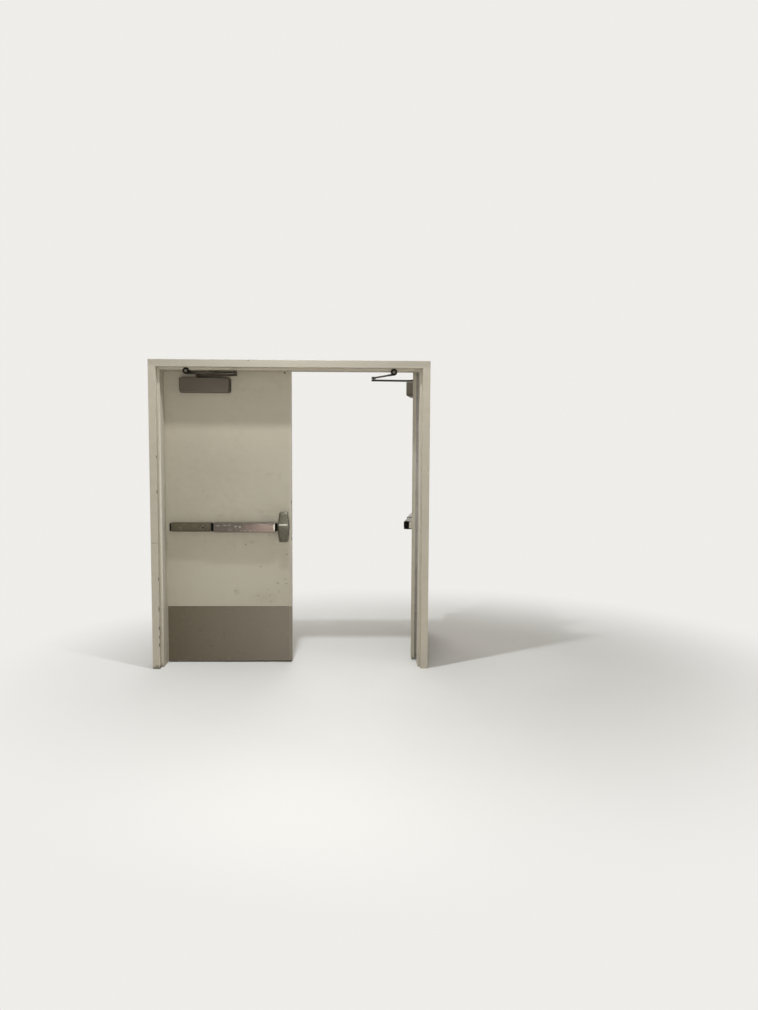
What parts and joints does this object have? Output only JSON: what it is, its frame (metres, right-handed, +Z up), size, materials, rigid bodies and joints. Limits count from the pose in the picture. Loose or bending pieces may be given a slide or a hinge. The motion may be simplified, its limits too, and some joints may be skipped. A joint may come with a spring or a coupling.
{
  "type": "pair of steel exit doors in a frame",
  "caption": "Pair of flush steel exit doors in a pressed-steel wall frame, with touch-bar exit devices, closers, kick plates and full-height hinges; one leaf stands open.",
  "frame": {"origin": "middle of the underside of the left jamb's floor anchor, on the floor and midway through the frame's depth", "axes": "+X along the opening from the left jamb to the right one, +Y from the push side to the pull side, +Z up"},
  "size_m": [2.0111, 1.1314, 2.154],
  "materials": {
    "frame_paint": "satin warm grey paint, chipped",
    "leaf_paint": "satin warm grey paint, scuffed",
    "hinge_steel": "dull worn steel",
    "kick_metal": "satin bronze-brown, smudged",
    "closer_paint": "dark bronze paint",
    "device_metal": "satin bronze-grey",
    "pad_metal": "worn satin metal",
    "black_plastic": "matt black",
    "rubber": "matt",
    "plated_steel": "zinc plated"
  },
  "bodies": {
    "frame": {"frame_head": "frame_paint", "frame_jamb_left": "frame_paint", "frame_jamb_right": "frame_paint", "wall_anchors_left": "plated_steel", "wall_anchors_right": "plated_steel", "floor_anchor_left": "plated_steel", "floor_anchor_right": "plated_steel", "silencers": "rubber", "top_strikes": "plated_steel", "left_hinge_frame_plate": "hinge_steel", "left_hinge_pin": "hinge_steel", "left_closer_shoe": "closer_paint", "right_hinge_frame_plate": "hinge_steel", "right_hinge_pin": "hinge_steel", "right_closer_shoe": "closer_paint"},
    "left_door": {"left_leaf": "leaf_paint", "left_edge_guard": "hinge_steel", "left_kick_plate": "kick_metal", "left_hinge_door_plate": "hinge_steel", "left_closer_body": "closer_paint", "left_closer_cover": "closer_paint", "left_bar_rail": "device_metal", "left_bar_case": "device_metal", "left_bar_end_cap": "black_plastic", "left_bar_head": "device_metal"},
    "left_bar": {"left_touchpad": "pad_metal", "left_pad_caps": "black_plastic"},
    "left_arm": {"left_closer_main_arm": "closer_paint"},
    "left_rod": {"left_closer_forearm": "closer_paint"},
    "right_door": {"right_leaf": "leaf_paint", "right_edge_guard": "hinge_steel", "right_kick_plate": "kick_metal", "right_hinge_door_plate": "hinge_steel", "right_closer_body": "closer_paint", "right_closer_cover": "closer_paint", "right_bar_rail": "device_metal", "right_bar_case": "device_metal", "right_bar_end_cap": "black_plastic", "right_bar_head": "device_metal"},
    "right_bar": {"right_touchpad": "pad_metal", "right_pad_caps": "black_plastic"},
    "right_arm": {"right_closer_main_arm": "closer_paint"},
    "right_rod": {"right_closer_forearm": "closer_paint"}
  },
  "joints": [
    {"name": "left_hinge", "type": "hinge", "parent": "frame", "child": "left_door", "pos_m": [0.0075, 0.117, 1.055], "axis": [0, 0, 1], "range_deg": [0, 105], "stiffness_Nm_per_rad": 6, "springref_deg": -28.65},
    {"name": "left_arm_pivot", "type": "hinge", "parent": "left_door", "child": "left_arm", "pos_m": [0.2685, 0.037, 2.0455], "axis": [0, 0, 1], "range_deg": [-88, 0]},
    {"name": "left_elbow", "type": "hinge", "parent": "left_arm", "child": "left_rod", "pos_m": [0.53628, -0.069, 2.0555], "axis": [0, 0, 1], "range_deg": [0, 74.3]},
    {"name": "left_push", "type": "slide", "parent": "left_door", "child": "left_bar", "axis": [0, 1, 0], "range_m": [0, 0.016], "stiffness_N_per_m": 1200, "springref_m": -0.02},
    {"name": "right_hinge", "type": "hinge", "parent": "frame", "child": "right_door", "pos_m": [1.8275, 0.117, 1.055], "axis": [0, 0, -1], "range_deg": [-99, 6]},
    {"name": "right_arm_pivot", "type": "hinge", "parent": "right_door", "child": "right_arm", "pos_m": [1.78931, 0.3873, 2.0455], "axis": [0, 0, -1], "range_deg": [-5.1, 81.5]},
    {"name": "right_elbow", "type": "hinge", "parent": "right_arm", "child": "right_rod", "pos_m": [1.50236, 0.36276, 2.0555], "axis": [0, 0, -1], "range_deg": [-67.6, 4.2]},
    {"name": "right_push", "type": "slide", "parent": "right_door", "child": "right_bar", "axis": [0.9877, -0.1564, 0], "range_m": [0, 0.016], "stiffness_N_per_m": 1200, "springref_m": -0.02}
  ],
  "couplings": [
    {"joint": "left_arm_pivot", "follows": "left_hinge", "ratio": -0.8369},
    {"joint": "left_elbow", "follows": "left_hinge", "ratio": 0.7065},
    {"joint": "right_arm_pivot", "follows": "right_hinge", "ratio": -0.8218},
    {"joint": "right_elbow", "follows": "right_hinge", "ratio": 0.6813}
  ]
}
